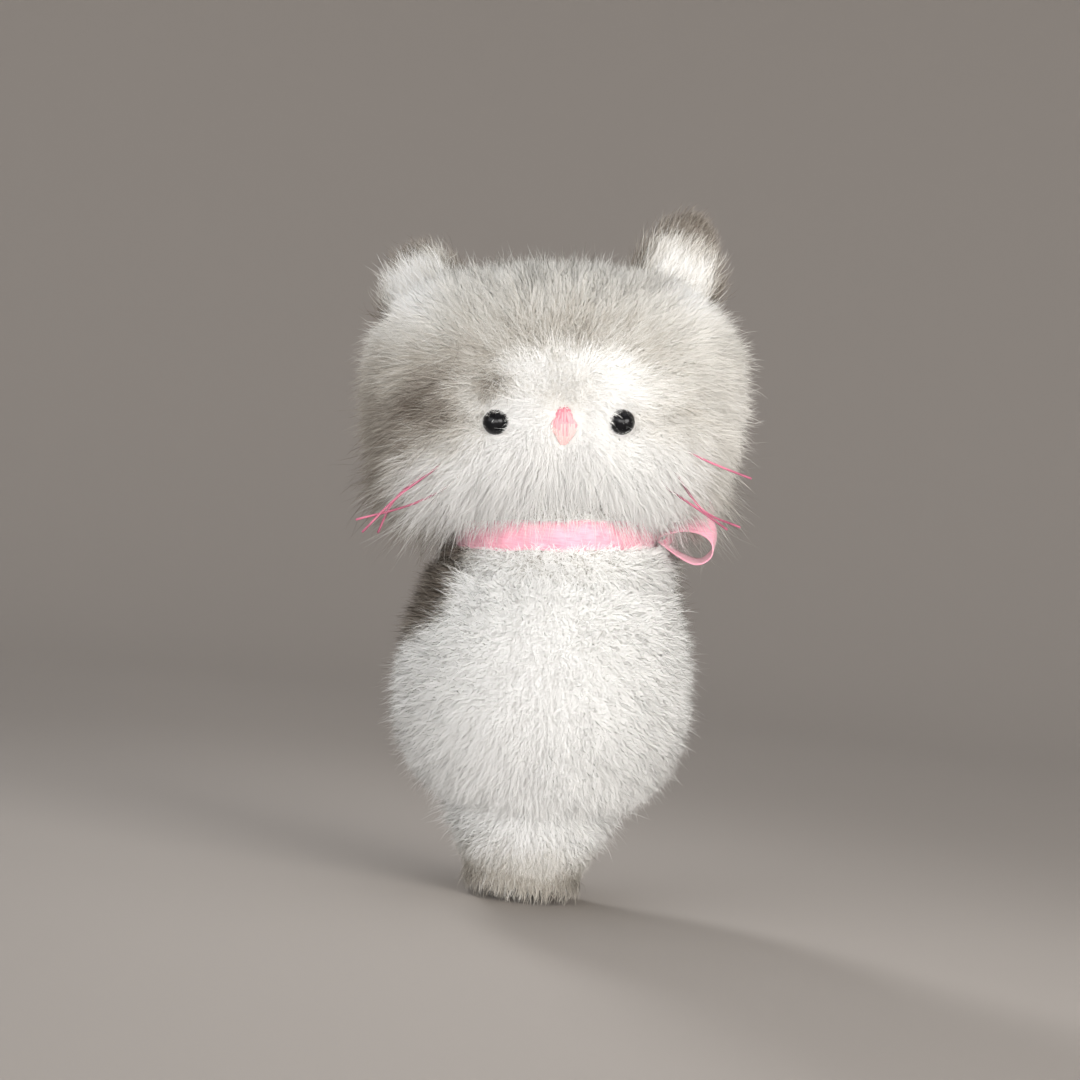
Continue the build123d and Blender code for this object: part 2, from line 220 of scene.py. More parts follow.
def grid_faces(rows, cols, closed):
    """Quads of a grid of points, its columns joined into a ring if closed."""
    r, c = np.meshgrid(np.arange(rows - 1), np.arange(cols if closed else cols - 1), indexing="ij")
    after = (c + 1) % cols
    quads = np.stack((r * cols + c, r * cols + after, (r + 1) * cols + after, (r + 1) * cols + c), -1)
    return quads.reshape(-1, 4)


def grid_points(x, y, z):
    """Points of a grid from its coordinates, each a number, a row, a column or a whole grid."""
    return np.stack(np.broadcast_arrays(x, y, z), -1).reshape(-1, 3)


def spun(profile, cols):
    """A skin of revolution round Z, from a profile of radius and height."""
    turn_by = 2 * pi * np.arange(cols) / cols
    radius, height = profile[:, 0, None], profile[:, 1, None]
    points = grid_points(radius * np.cos(turn_by), radius * np.sin(turn_by), height)
    return points, grid_faces(len(profile), cols, True)


def vertex_normals(points, faces):
    corners = points[faces]
    flat = np.cross(corners[:, 2] - corners[:, 0], corners[:, 3] - corners[:, 1])
    normals = np.zeros_like(points)
    for k in range(4):
        np.add.at(normals, faces[:, k], flat)
    return unit(normals)


# ---- Materials ---------------------------------------------------------------------------


def plain_material(name, colour, roughness=0.8, **sockets):
    """A one-node material. Further sockets are given by name, with _ for each space."""
    made = bpy.data.materials.new(name)
    made.use_nodes = True
    shader = made.node_tree.nodes["Principled BSDF"]
    shader.inputs["Base Color"].default_value = (*colour, 1)
    shader.inputs["Roughness"].default_value = roughness
    for socket, value in sockets.items():
        shader.inputs[socket.replace("_", " ")].default_value = value
    return made


def patterned_material(name, dark, light, size, relief, roughness=0.8, stretch=(1, 1, 1), **sockets):
    """A material whose colour runs between two shades, with relief, in a grain of the given size.

    size and relief are in millimetres. stretch squeezes the grain along an axis, so that it
    turns into fibres which run across that axis.
    """
    made = plain_material(name, light, roughness, **sockets)
    nodes, links = made.node_tree.nodes, made.node_tree.links
    shader = nodes["Principled BSDF"]
    place = nodes.new("ShaderNodeTexCoord")
    squeeze = nodes.new("ShaderNodeVectorMath")
    squeeze.operation = "MULTIPLY"
    squeeze.inputs[1].default_value = [s / (size * MM) for s in stretch]
    grain = nodes.new("ShaderNodeTexNoise")
    grain.inputs["Scale"].default_value = 1
    shades = nodes.new("ShaderNodeValToRGB")
    shades.color_ramp.elements[0].color = (*dark, 1)
    shades.color_ramp.elements[0].position = 0.3
    shades.color_ramp.elements[1].color = (*light, 1)
    shades.color_ramp.elements[1].position = 0.7
    bump = nodes.new("ShaderNodeBump")
    bump.inputs["Distance"].default_value = relief * MM
    links.new(place.outputs["Object"], squeeze.inputs[0])
    links.new(squeeze.outputs["Vector"], grain.inputs["Vector"])
    links.new(grain.outputs["Fac"], shades.inputs["Fac"])
    links.new(grain.outputs["Fac"], bump.inputs["Height"])
    links.new(shades.outputs["Color"], shader.inputs["Base Color"])
    links.new(bump.outputs["Normal"], shader.inputs["Normal"])
    return made


def fur_materials():
    return [
        plain_material(f"fur_{name}", colour, 0.7, Specular_IOR_Level=0.12)
        for name, colour in TONES.items()
    ]


# ---- Meshes ------------------------------------------------------------------------------


def mesh_object(name, points, faces, materials, indices=None, normals=None):
    """An object from points in millimetres and faces, a list of (count, corners) index arrays."""
    mesh = bpy.data.meshes.new(name)
    groups = faces if isinstance(faces, list) else [faces]
    corners = np.concatenate([g.reshape(-1) for g in groups])
    sizes = np.concatenate([np.full(len(g), g.shape[1]) for g in groups])
    mesh.vertices.add(len(points))
    mesh.vertices.foreach_set("co", (points * MM).astype(np.float32).reshape(-1))
    mesh.loops.add(len(corners))
    mesh.loops.foreach_set("vertex_index", corners.astype(np.int32))
    mesh.polygons.add(len(sizes))
    mesh.polygons.foreach_set("loop_start", (np.cumsum(sizes) - sizes).astype(np.int32))
    for material in materials:
        mesh.materials.append(material)
    if indices is not None:
        mesh.polygons.foreach_set("material_index", indices.astype(np.int32))
    mesh.polygons.foreach_set("use_smooth", np.ones(len(sizes), dtype=bool))
    mesh.update(calc_edges=True)
    if normals is not None:
        mesh.normals_split_custom_set_from_vertices(normals.astype(np.float32))
    made = bpy.data.objects.new(name, mesh)
    bpy.context.scene.collection.objects.link(made)
    return made


def part_of(points, faces, keep):
    """The faces of a skin that keep marks, with their own points."""
    chosen = faces[keep]
    used, renumbered = np.unique(chosen, return_inverse=True)
    return points[used], renumbered.reshape(-1, 4)


# ---- Skins -------------------------------------------------------------------------------


def head_surface(x, z):
    """How far forward (-Y) the head's skin is at x and z of its own frame, as a plain number."""
    share = min(1.0, abs(z) / HEAD_HALF[2])
    across = HEAD_HALF[0] * (1 - share**HEAD_POWER) ** (1 / HEAD_POWER)
    return -HEAD_HALF[1] / HEAD_HALF[0] * max(0.0, across**2 - x**2) ** 0.5


def head_skin():
    rows, cols = 90, 200
    lift = pi * (np.arange(rows) / (rows - 1) - 0.5)[:, None]
    turn_by = 2 * pi * np.arange(cols) / cols
    across = np.abs(np.cos(lift)) ** (2 / HEAD_POWER)
    x = HEAD_HALF[0] * across * np.cos(turn_by)
    y = HEAD_HALF[1] * across * np.sin(turn_by)
    z = HEAD_HALF[2] * np.sign(lift) * np.abs(np.sin(lift)) ** (2 / HEAD_POWER)
    return grid_points(x, y, z), grid_faces(rows, cols, True)


def face_share(points):
    """Below 1 inside the white face panel's outline, on the front of the head."""
    return (points[:, 0] / FACE_HALF[0]) ** 2 + ((points[:, 2] + FACE_DROP) / FACE_HALF[1]) ** 2


def body_skin():
    return spun(curve_through(BODY_PROFILE, 90), 160)


def neck_skin():
    """The part of the neck's ball that shows between the shoulders and the head at some pose."""
    lift = np.radians(np.linspace(*NECK_LIFT, 40))
    return spun(BALL_R * np.stack((np.cos(lift), np.sin(lift)), -1), 140)


def ear_frame(side):
    """At the ear's root: X runs along the root line, Z stands out from the head, Y is back.

    Also gives the slope of the head there.
    """
    sign = SIDES[side]
    share = EAR_X[side] / HEAD_HALF[0]
    rise = (1 - share**HEAD_POWER) ** (1 / HEAD_POWER)
    slope = atan2(share ** (HEAD_POWER - 1) / HEAD_HALF[0], rise ** (HEAD_POWER - 1) / HEAD_HALF[2])
    gap = EAR_ROLL_R + 0.3
    x = EAR_X[side] + gap * sin(slope)
    z = HEAD_HALF[2] * rise + gap * cos(slope)
    root = HEAD @ move(sign * x, 0, z) @ turn("Y", sign * degrees(slope))
    return root @ turn("X", -EAR_LEAN_BACK[side]), slope


def ear_skin(side):
    """A pointed, slightly cupped ear in its own frame."""
    rows, cols = 26, 36
    slope = ear_frame(side)[1]
    v = np.linspace(0, 1, rows)[:, None]
    around = 2 * pi * np.arange(cols)[None] / cols
    half_width = (EAR_HALF_BASE + 2.2) * np.cos(v * pi / 2) ** 1.1 * (1 - 0.3 * v)
    thick = EAR_ROLL_R * (1 - 0.45 * v) * np.cos(v * pi / 2) ** 0.3
    sideways = SIDES[side] * (EAR_TIP_OUT - sin(slope) * EAR_LENGTH) * v
    x = sideways + half_width * np.cos(around)
    y = thick * np.sin(around) + 0.03 * (half_width * np.cos(around)) ** 2 * (1 - v)
    z = -1.0 + (1.0 + cos(slope) * EAR_LENGTH) * np.sin(v * pi / 2)
    return grid_points(x, y, z), grid_faces(rows, cols, True)


# ---- Fur ---------------------------------------------------------------------------------


def scatter(points, faces, per_mm2, rng):
    """Roots spread evenly over a skin, with the skin's normals there."""
    normals = vertex_normals(points, faces)
    corners = points[faces]
    area = 0.5 * np.linalg.norm(
        np.cross(corners[:, 2] - corners[:, 0], corners[:, 3] - corners[:, 1]), axis=1
    )
    wanted = area * per_mm2 * DENSITY
    count = np.floor(wanted + rng.random(len(wanted))).astype(int)
    at = np.repeat(np.arange(len(faces)), count)
    u, v = rng.random((2, len(at), 1))
    weights = [(1 - u) * (1 - v), u * (1 - v), u * v, (1 - u) * v]
    roots = sum(w * points[faces[at, k]] for k, w in enumerate(weights))
    ups = unit(sum(w * normals[faces[at, k]] for k, w in enumerate(weights)))
    return roots, ups


def clump_pull(paths, roots, strength, rng):
    """Draws the tips of neighbouring blades together into small clumps."""
    centres = rng.choice(len(roots), max(1, len(roots) // CLUMP_SIZE), replace=False)
    tree = kdtree.KDTree(len(centres))
    for i, c in enumerate(centres):
        tree.insert(roots[c], i)
    tree.balance()
    nearest = centres[np.array([tree.find(root)[1] for root in roots])]
    t = np.linspace(0, 1, paths.shape[1])[None, :, None]
    pull = strength * t**1.4 * rng.uniform(0.3, 1, (len(roots), 1, 1))
    return paths + (paths[nearest] - paths) * pull


def blade_paths(roots, ups, flows, sizes, rng, stand, ruffle, curl):
    """The bent centre line of each blade, as (blades, rows, 3)."""
    count = len(roots)
    down = np.array((0.0, 0.0, -0.15))
    start = unit(ups * stand + flows * 0.45 + rng.normal(0, ruffle, (count, 3)))
    end = unit(start + flows * 0.5 + down + rng.normal(0, ruffle, (count, 3)))
    t = np.linspace(0, 1, BLADE_ROWS)[None, :, None]
    bent = start[:, None] * t + (end - start)[:, None] * t**2 / 2
    side = unit(np.cross(start, rng.normal(0, 1, (count, 3))))[:, None]
    phase = rng.uniform(0, 2 * pi, (count, 1, 1))
    wave = np.sin(t * rng.uniform(3, 9, (count, 1, 1)) + phase) - np.sin(phase)
    return roots[:, None] + sizes[:, None, None] * bent + side * wave * curl * t


def blade_mesh(paths, ups, width, rng):
    """Tapering strips along the paths: points, quads, end triangles and soft normals."""
    count, rows = paths.shape[:2]
    along_path = unit(np.gradient(paths, axis=1))
    level = unit(np.cross(along_path, ups[:, None]))
    roll = rng.uniform(-0.9, 0.9, (count, 1, 1))
    over = unit(np.cross(level, along_path))
    across = level * np.cos(roll) + over * np.sin(roll)
    t = np.linspace(0, 1, rows)[None, :-1, None]
    half = width / 2 * (1 - 0.65 * t) * rng.uniform(0.7, 1.3, (count, 1, 1))
    left = paths[:, :-1] - across[:, :-1] * half
    right = paths[:, :-1] + across[:, :-1] * half
    strip = np.stack((left, right), 2).reshape(count, -1, 3)
    points = np.concatenate((strip, paths[:, -1:]), 1)
    per = points.shape[1]
    first = (np.arange(count) * per)[:, None, None]
    steps = 2 * np.arange(rows - 2)[None, :, None]
    quads = first + steps + np.array((0, 1, 3, 2))
    ends = first[:, 0] + np.array((per - 3, per - 2, per - 1))
    facing = unit(np.cross(across, along_path))
    facing *= np.sign(np.sum(facing * ups[:, None], -1, keepdims=True) + 1e-9)
    soft = unit(ups[:, None] * 1.5 + facing * 0.4 + along_path * 0.25)
    normals = np.concatenate((np.repeat(soft[:, :-1], 2, axis=1), soft[:, -1:]), 1)
    return points.reshape(-1, 3), quads.reshape(-1, 4), ends, normals.reshape(-1, 3)


def tone_indices(tones, rows, rng):
    """Each face's tone: a blade is a little darker at its root and lighter at its tip, painted shade
    deep in the coat.
    """
    own = tones + rng.normal(0, 0.45, len(tones))
    # painted shade: darker at the root, deep in the coat, lighter at the tip
    shade = np.linspace(0.4, -0.3, rows - 1)[None]
    return np.clip(np.rint(own[:, None] + shade), 0, len(TONES) - 1).astype(int)


def as_they_are(roots, ups):
    return ups


FUR_STYLE = {
    "raised": as_they_are,  # changes the way the fur stands off the skin
    "tufts": 1.0,  # how unevenly it grows and leans from place to place
    "stand": 1.0,  # how much it stands up, against the way it is combed
    "ruffle": 0.42,  # how much each blade goes its own way
    "curl": 0.6,
    "clump": 0.42,  # how far the tips in a clump are drawn together
}


def grow(name, body, slot, skin, frame, per_mm2, size, comb, tone, seed, **style):
    """Grows fur on a skin given in a frame's own coordinates, in as many meshes as it takes.

    size, comb and tone are functions of the roots (and normals) in that same frame.
    style changes entries of FUR_STYLE.
    """
    rng = np.random.default_rng(seed)
    roots, ups = scatter(*skin, per_mm2, rng)
    sizes = size(roots) * rng.uniform(0.72, 1.08, len(roots))
    sizes *= np.where(rng.random(len(roots)) < 0.07, 1.4, 1.0)  # a few guard hairs
    look = FUR_STYLE | style
    sizes *= 1 + 0.4 * look["tufts"] * mottle(roots, 3, seed)
    kept = sizes > 0.4
    roots, ups, sizes = roots[kept], ups[kept], sizes[kept]
    leaning = drift(roots, 5, seed) + drift(roots, 2, seed)
    ups = look["raised"](roots, ups)
    flows = comb(roots, ups) + 0.9 * look["tufts"] * along(ups, leaning)
    tones = tone(roots)
    roots = placed(frame, roots)
    ups = turned_only(frame, ups)
    flows = turned_only(frame, flows)
    paths = blade_paths(roots, ups, flows, sizes, rng, look["stand"], look["ruffle"], look["curl"])
    paths = clump_pull(paths, roots, look["clump"], rng)
    pieces = max(1, -(-len(roots) // PIECE_LIMIT))
    order = rng.permutation(len(roots))
    for k in range(pieces):
        mine = np.sort(order[k::pieces])
        points, quads, ends, normals = blade_mesh(paths[mine], ups[mine], BLADE_WIDTH, rng)
        shades = tone_indices(tones[mine], paths.shape[1], rng)
        indices = np.concatenate((shades[:, :-1].reshape(-1), shades[:, -1]))
        made = mesh_object(f"{name}_{k + 1}", points, [quads, ends], FUR, indices, normals)
        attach(made, body)


def tone_faces(points, faces, tone):
    """A tone for each face of a skin, a little darker than the fur over it, as painted shade under the
    fur.
    """
    middle = points[faces].mean(axis=1)
    # +0.6 darkens the skin as painted shade under the fur
    return np.clip(np.rint(tone(middle) + 0.6), 0, len(TONES) - 1).astype(int)


def show_skin(name, body, node, skin, frame, tone):
    points, faces = skin
    made = mesh_object(name, placed(frame, points), faces, FUR, tone_faces(points, faces, tone))
    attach(made, body)
    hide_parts(node)


# ---- Head --------------------------------------------------------------------------------


def head_comb(roots, ups):
    """Fur flows away from the nose, droops on the cheeks, lies back on the sides, and rims the eyes."""
    nose = np.array((0.0, -HEAD_HALF[1], NOSE_Z + 2))
    away = unit(roots - nose)
    away[:, 2] -= 0.25
    low = smooth_step(-6, -16, roots[:, 2])
    away[:, 0] += 0.7 * low * roots[:, 0] / HEAD_HALF[0]
    away[:, 2] -= 0.6 * low
    side = smooth_step(20, 31, np.abs(roots[:, 0]))
    away[:, 1] += 1.1 * side
    away[:, 2] -= 0.4 * side
    eye = np.stack((np.sign(roots[:, 0]) * EYE_X, roots[:, 1], np.full(len(roots), EYE_Z)), -1)
    inward = unit(eye - roots) * smooth_step(4.6, 2.6, near_eyes(roots))[:, None]
    return along(ups, away * smooth_step(1.5, 5, near_eyes(roots))[:, None] + 1.1 * inward)


def near_eyes(roots):
    """Distance from the nearer eye's middle, across the face."""
    flat = np.hypot(np.abs(roots[:, 0]) - EYE_X, roots[:, 2] - EYE_Z)
    return np.where(roots[:, 1] < 0, flat, 99)


def near_nose(roots):
    """Distance from the nose's middle, with 1 at its edge."""
    flat = np.hypot((roots[:, 0] - NOSE_X) / 2.6, (roots[:, 2] - NOSE_Z) / 4.2)
    return np.where(roots[:, 1] < 0, flat, 99)


def from_pivot(points):
    """Distance of the head's own points from the pivot."""
    return np.linalg.norm(placed(HEAD_ON_COLLAR, points), axis=1)


def head_size(roots):
    """Fur length: short round the eyes and the nose, longest on the cheeks, none over the neck."""
    muzzle = smooth_step(4, 20, np.hypot(roots[:, 0], roots[:, 2] - NOSE_Z))
    length = 4.8 + 2.8 * np.where(roots[:, 1] < 0, muzzle, 1)
    x, z = np.abs(roots[:, 0]), roots[:, 2]
    length += 5.6 * smooth_step(-9, -16, z) - 1.2 * smooth_step(12, 20, z) * smooth_step(22, 16, x)
    length += 2.6 * smooth_step(12, 24, x) * smooth_step(-2, -14, z)
    length *= 0.5 + 0.5 * smooth_step(2.4, 6.5, near_eyes(roots))
    length *= 0.4 + 0.6 * smooth_step(0.8, 2.2, near_nose(roots))
    bare = (near_eyes(roots) < EYE_R - 0.6) | (near_nose(roots) < 0.8)
    length[bare] = 0
    length[from_pivot(roots) < BALL_R + 0.6] = 0
    return length


def head_tone(roots):
    """White mask, beige arc on the forehead with painted light towards the top, grey cheek on the
    puppet's right that is partly its fur's grey and partly painted shade, painted shade on the bridge of
    the nose, dark behind.
    """
    x, y, z = roots.T
    patch = 0.35 * mottle(roots, 5, 3) + 0.25 * mottle(roots, 2, 4)
    mask = smooth_step(0.65, 1.25, face_share(roots) + patch * 0.8)
    # painted light from above: the crown turns lighter towards the top
    crown = 3.7 - 0.7 * smooth_step(8, 18, z)
    crown -= 2.0 * np.exp(-(((np.abs(x) - 25) / 6) ** 2) - ((z - 16) / 6) ** 2)
    crown -= 1.6 * smooth_step(4, 26, x) * smooth_step(-22, 2, -np.abs(z + 4))
    # the grey cheek on the puppet's right, partly its fur's own grey and partly painted shade on the
    # shaded side
    crown += 1.3 * smooth_step(-18, -30, x) * smooth_step(10, -4, z)
    front = WHITE + (crown + patch * 1.4 - WHITE) * mask - 0.6 * (1 - mask)
    # the spots add the fur's own patches and painted shade
    for middle_x, middle_z, wide, high, depth in PATCHES_AND_PAINTED_SHADE:
        front += depth * np.exp(-(((x - middle_x) / wide) ** 2) - ((z - middle_z) / high) ** 2)
    behind = TAUPE + patch
    back = smooth_step(-0.5, 5, y + 2.5 * patch)
    return front + (behind - front) * back


def build_head():
    points, faces = head_skin()
    middle = points[faces].mean(axis=1)
    front = middle[:, 1] < BACK_SEAM_Y
    face = front & (face_share(middle) < 1)
    outside = from_pivot(middle) > BALL_R + 0.4
    panels = {
        "face_panel": ("white_fur", face, FACE_DENSITY),
        "crown_panel": ("grey_fur", front & ~face, CROWN_DENSITY),
        "head_back_panel": ("taupe_fur", ~front, HEAD_BACK_DENSITY),
    }
    for seed, (node, (slot, keep, per_mm2)) in enumerate(panels.items(), start=11):
        skin = part_of(points, faces, keep & outside)
        name = node.replace("_panel", "")
        show_skin(f"{name}_skin", "head", node, skin, HEAD, head_tone)
        grow(f"{name}_fur", "head", slot, skin, HEAD, per_mm2, head_size, head_comb, head_tone, seed)


def floss_material(name, dark, light):
    """Stranded floss, its fibres upright."""
    return patterned_material(name, dark, light, 1.6, 0.05, 0.6, (8, 8, 1), Sheen_Weight=0.3)


def nose_strand(share, rng):
    """One upright strand of the nose, share from -1 at one edge to 1 at the other."""
    rows, sides = 14, 8
    around = 2 * pi * np.arange(sides) / sides
    down = np.linspace(0, 1, rows)
    spread = 1.4 + 0.95 * np.sin(pi * np.clip(1.25 * down - 0.25, 0, 1))
    top = NOSE_Z + 3.9 - 1.5 * share**2 + rng.uniform(-0.3, 0.3)
    bottom = NOSE_Z - 3.7 + 1.8 * share**2 + rng.uniform(-0.2, 0.2)
    x = NOSE_X + share * spread + rng.uniform(-0.1, 0.1)
    z = top + (bottom - top) * down
    swell = 0.25 + 0.75 * np.sin(pi * down) * (1 - 0.5 * share**2)
    y = np.array([head_surface(a, b) for a, b in zip(x, z)]) - swell
    radius = 0.27 * (0.6 + 0.4 * np.sin(pi * down) ** 0.4) * rng.uniform(0.85, 1.15)
    ring_x = x[:, None] + radius[:, None] * np.cos(around)
    ring_y = y[:, None] + radius[:, None] * np.sin(around)
    tone = np.clip(np.rint(down * 3.0 - 0.2 + rng.uniform(-0.5, 0.5)), 0, 2)[:-1]
    return grid_points(ring_x, ring_y, z[:, None]), grid_faces(rows, sides, True), np.repeat(tone, sides)


def build_nose():
    """Satin stitch in pink floss: a narrow dark top that spreads into a pale, rounded tip."""
    pinks = [
        floss_material("floss_deep", (0.56, 0.17, 0.22), (0.74, 0.27, 0.32)),
        floss_material("floss_pink", (0.74, 0.3, 0.34), (0.86, 0.41, 0.44)),
        floss_material("floss_pale", (0.78, 0.48, 0.47), (0.88, 0.6, 0.58)),
    ]
    rng = np.random.default_rng(51)
    strands = [nose_strand(share, rng) for share in np.linspace(-1, 1, NOSE_STRANDS)]
    points, faces, tones = zip(*strands)
    faces = [own + k * len(points[0]) for k, own in enumerate(faces)]
    points, faces, tones = np.concatenate(points), np.concatenate(faces), np.concatenate(tones)
    made = mesh_object("nose_floss", placed(HEAD, points), faces, pinks, tones)
    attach(made, "head")
    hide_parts("nose_stitches")


# ---- Ears --------------------------------------------------------------------------------


def ear_comb(roots, ups):
    """Fur runs up the ear and draws together past its tip."""
    tip = np.array((0.0, 0.0, 1.6 * EAR_LENGTH))
    return along(ups, 3.2 * unit(tip - roots))


def ear_size(roots):
    """Longest at the root, where it runs into the fur of the head."""
    return 5.4 + 1.6 * smooth_step(12, 0, roots[:, 2])


def ear_tone(roots):
    """White in the middle of the front, grey at the edges and the tip, dark behind."""
    x, y, z = roots.T
    slope_x = np.abs(x) / (EAR_HALF_BASE + 2.5 - 0.28 * np.maximum(z, 0))
    front = WHITE + 2.6 * smooth_step(0.45, 1.0, slope_x + 0.15 * mottle(roots, 2, 6))
    front = np.maximum(front, WHITE + 0.4 + 4.6 * smooth_step(3, 9, z))
    behind = TAUPE - 0.4
    return front + (behind - front) * smooth_step(-0.4, 1.4, y)


def build_ears():
    for seed, side in enumerate(SIDES, start=21):
        frame = ear_frame(side)[0]
        points, faces = ear_skin(side)
        ahead = points[faces].mean(axis=1)[:, 1] < 0.35
        for half, slot, keep in (("front", "white_fur", ahead), ("back", "taupe_fur", ~ahead)):
            skin = part_of(points, faces, keep)
            node, body = f"ear_{side}_{half}", f"ear_{side}"
            show_skin(f"{node}_skin", body, node, skin, frame, ear_tone)
            grow(
                f"{node}_fur", body, slot, skin, frame, EAR_DENSITY, ear_size, ear_comb, ear_tone,
                seed, stand=0.5, ruffle=0.62,
            )


# ---- Body --------------------------------------------------------------------------------


def body_comb(roots, ups):
    """Fur hangs down, and lies out over the shoulders."""
    hang = np.zeros_like(roots)
    hang[:, 2] = -0.75 * smooth_step(60, 50, roots[:, 2])
    hem = smooth_step(8, 0, roots[:, 2])[:, None]
    return along(ups, hang * (1 + 2.5 * hem)) - 1.2 * hem * ups


def body_size(roots):
    """Fur length: longest in the fold under the belly, short over the hem, a fringe at its edge."""
    length = 2.2 + 4.0 * smooth_step(1, 13, roots[:, 2])
    length += 2.4 * np.exp(-(((roots[:, 2] - 16) / 4) ** 2))
    return length + 2.2 * smooth_step(2.5, 0.5, roots[:, 2])


def out_of_fold(roots, ups):
    """The fur in the fold under the belly stands straight out and fills it."""
    out = unit(roots * (1, 1, 0))
    return unit(ups + 2.5 * np.exp(-(((roots[:, 2] - 20) / 5) ** 2))[:, None] * out)


def body_tone(roots):
    """White in front, dark behind, and greyer at the hem."""
    patch = 0.3 * mottle(roots, 6, 8) + 0.2 * mottle(roots, 2, 9)
    seam = local(SEAM, roots)
    wrap = -7 + 16 * smooth_step(53, 39, roots[:, 2])
    front = WHITE - 0.7 + patch * 0.5 + 4.2 * smooth_step(13, -1, roots[:, 2] + 8 * patch)
    behind = TAUPE + patch
    return front + (behind - front) * smooth_step(-2.0, 2.0, seam[:, 1] - wrap + 3 * patch)


def build_body():
    points, faces = body_skin()
    ahead = local(SEAM, points[faces].mean(axis=1))[:, 1] < 0
    here = Matrix.Identity(4)
    for seed, (node, slot, keep) in enumerate(
        (("belly_panel", "white_fur", ahead), ("back_panel", "taupe_fur", ~ahead)), start=31
    ):
        skin = part_of(points, faces, keep)
        name = node.replace("_panel", "")
        show_skin(f"{name}_skin", "body", node, skin, here, body_tone)
        grow(
            f"{name}_fur", "body", slot, skin, here, BODY_DENSITY, body_size, body_comb, body_tone,
            seed, tufts=0.55, raised=out_of_fold,
        )


def above_ribbon(roots):
    """Height over the ribbon's middle, square to the ribbon."""
    return local(turn("Y", HEAD_LEAN), roots)[:, 2] - RIBBON_MID


def neck_comb(roots, ups):
    """Next to the ribbon fur leans towards it, and further off away from it."""
    above = above_ribbon(roots)
    away = np.zeros_like(roots)
    away[:, 2] = np.where(above > 0, 1.0, -1.0) * (0.55 * smooth_step(4, 9, np.abs(above)) - 0.25)
    return along(ups, away)


def neck_size(roots):
    """None under the ribbon, short between it and the chin, and long over the shoulders."""
    above = above_ribbon(roots)
    length = 3.6 + 2.4 * smooth_step(3, 8, np.abs(above))
    length *= np.where(above > 0, 0.3, 1.0)
    length[np.abs(above) < RIBBON_WIDTH / 2 - 0.3] = 0
    return length


def neck_tone(roots):
    """The body's tones, carried on up the neck."""
    return body_tone(roots + np.array(PIVOT))


def build_neck():
    grow(
        "neck_fur", "neck", "white_fur", neck_skin(), move(*PIVOT), NECK_DENSITY, neck_size, neck_comb,
        neck_tone, 41, tufts=0.55,
    )


# ---- Ribbon and bow ----------------------------------------------------------------------


def satin_object(name, points, faces, node, thickness=0.22):
    made = mesh_object(name, points, faces, [SATIN])
    solid = made.modifiers.new("thickness", "SOLIDIFY")
    solid.thickness = thickness * MM
    solid.offset = 0
    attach(made, "collar")
    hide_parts(node)


def build_neck_ribbon():
    """A band drawn tight round the neck, with small creases across it and a rolled edge."""
    rows, cols = 17, 260
    turn_by = 2 * pi * np.arange(cols) / cols
    share = np.linspace(-1, 1, rows)[:, None]
    crease = 0.16 * np.sin(23 * turn_by + 2 * share) + 0.12 * np.sin(41 * turn_by - 3 * share)
    radius = RIBBON_R + 0.45 + 0.35 * (1 - share**2) + crease * (0.5 + 0.5 * share**2)
    height = RIBBON_MID + share * RIBBON_WIDTH / 2 + 0.18 * np.sin(9 * turn_by + share)
    points = placed(COLLAR, grid_points(radius * np.cos(turn_by), radius * np.sin(turn_by), height))
    satin_object("ribbon_band", points, grid_faces(rows, cols, True), "neck_ribbon")


def ribbon_strip(name, node, course, leans, widths, frame):
    """A ribbon along a course in the bow's frame.

    leans is how far its near edge hangs down, in degrees, and widths its width, both at each point.
    """
    rows, cols = 60, 9
    centre = curve_through(course, rows)
    stops = np.linspace(0, 1, len(course))
    here = np.linspace(0, 1, rows)
    lean = np.radians(np.interp(here, stops, leans))[:, None]
    half = (np.interp(here, stops, widths) / 2)[:, None]
    share = np.linspace(-1, 1, cols)[None]
    near = np.stack((np.zeros_like(lean), -np.cos(lean), -np.sin(lean)), -1)
    path_way = unit(np.gradient(centre, axis=0))[:, None]
    out = np.cross(path_way, near)
    crease = 0.12 * np.sin(2.5 * pi * share + 5 * here[:, None]) * (1.2 - half / 3)
    points = centre[:, None] + near * (share * half)[..., None] + out * crease[..., None]
    points = placed(frame, points.reshape(-1, 3))
    satin_object(name, points, grid_faces(rows, cols, False), node)


def build_bow():
    loop = [(1.2, 0, 0.6), (4.0, 0, 2.6), (8.0, 0, 3.4), (11.6, 0, 1.4), (12.0, 0, -2.2)]
    loop += [(9.2, 0, -4.6), (5.4, 0, -3.4), (1.2, 0, -0.6)]
    leans = [20, 40, 48, 40, 25, 10, 5, 5]
    widths = [3.0, 5.2, 6.0, 6.0, 6.0, 6.0, 5.0, 3.0]
    near = BOW @ move(0, -3.0, -0.8)
    ribbon_strip("bow_front_loop", "bow_loop_front", loop, leans, widths, near)
    rear = [(1.2, 0, 0.4), (3.6, 0, 4.0), (7.4, 0, 6.4), (10.4, 0, 6.0), (10.2, 0, 3.6)]
    rear += [(7.0, 0, 1.4), (1.2, 0, -0.4)]
    leans = [0, -10, -20, -20, -15, -10, 0]
    widths = [3.0, 5.0, 6.0, 6.0, 6.0, 5.0, 3.0]
    ribbon_strip("bow_rear_loop", "bow_loop_rear", rear, leans, widths, BOW @ move(0, 3.2, 0))
    build_knot()
    for name, radius, length, drop in (("inner", 20.9, 12, 1.5), ("outer", 21.8, 14, -1.5)):
        course = []
        for share in np.linspace(0.12, 1, 5):
            around = share * length / radius
            course.append((radius * cos(around), radius * sin(around), RIBBON_MID + drop * share**2))
        build_tail(name, course)


